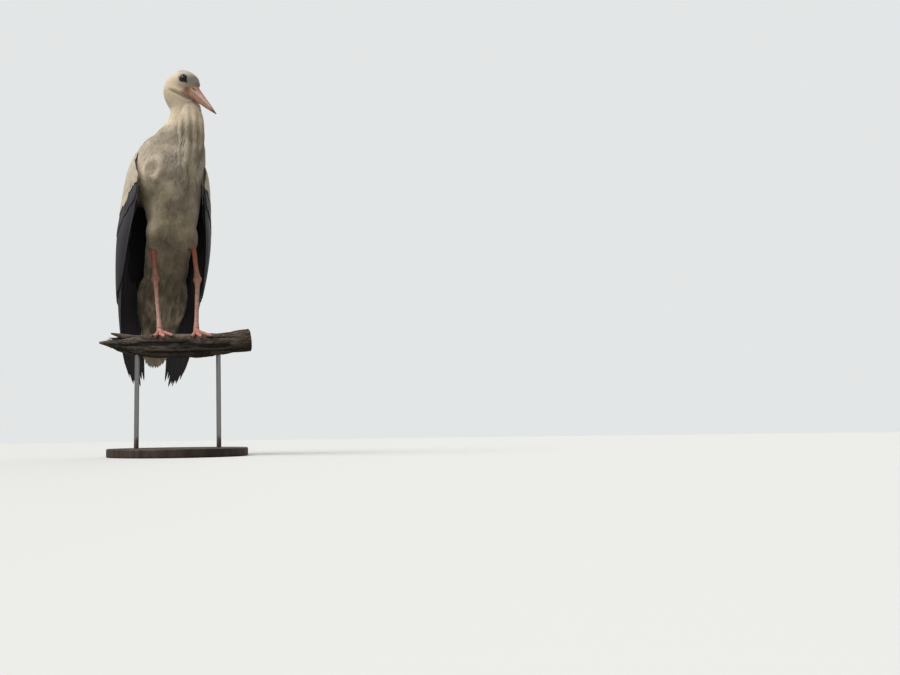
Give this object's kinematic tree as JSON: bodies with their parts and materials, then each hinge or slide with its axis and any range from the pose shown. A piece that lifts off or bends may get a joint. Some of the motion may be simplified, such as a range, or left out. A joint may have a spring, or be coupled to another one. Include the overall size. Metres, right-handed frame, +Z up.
{
  "type": "white stork model",
  "caption": "Life-size still model of a white stork standing on a cut branch, wings closed and head turned to its left, on a round stand.",
  "frame": {"origin": "centre of the underside of the stand's base, which rests on the floor", "axes": "+Z up; the bird faces -Y; +X is the bird's left"},
  "size_m": [0.4424, 0.4403, 1.172],
  "materials": {
    "white_feathers": "soft matt feathers, cream white",
    "black_feathers": "black flight feathers with a slight sheen",
    "bill": "satin horn, dull salmon with a darker tip",
    "leg_skin": "scaly skin, orange pink",
    "claw": "satin dark horn",
    "eye": "wet gloss, dark brown eye in black skin",
    "branch": "weathered dead wood, grey brown",
    "base": "dark stained wood, satin",
    "rod": "satin steel rod"
  },
  "bodies": {
    "root": {"bill_lower": "bill", "bill_upper": "bill", "claw_left_hind": "claw", "claw_left_inner": "claw", "claw_left_middle": "claw", "claw_left_outer": "claw", "claw_right_hind": "claw", "claw_right_inner": "claw", "claw_right_middle": "claw", "claw_right_outer": "claw", "eye_left": "eye", "eye_right": "eye", "foot_left": "leg_skin", "foot_right": "leg_skin", "head": "white_feathers", "neck_lower": "white_feathers", "neck_plumes": "white_feathers", "neck_upper": "white_feathers", "perch": "branch", "shank_left": "leg_skin", "shank_right": "leg_skin", "stand_base": "base", "stand_rod_left": "rod", "stand_rod_right": "rod", "tail": "white_feathers", "tail_coverts": "white_feathers", "tarsus_left": "leg_skin", "tarsus_right": "leg_skin", "thigh_left": "white_feathers", "thigh_right": "white_feathers", "trunk": "white_feathers", "wing_left_coverts": "white_feathers", "wing_left_primaries": "black_feathers", "wing_left_secondaries": "black_feathers", "wing_right_coverts": "white_feathers", "wing_right_primaries": "black_feathers", "wing_right_secondaries": "black_feathers"}
  },
  "joints": []
}
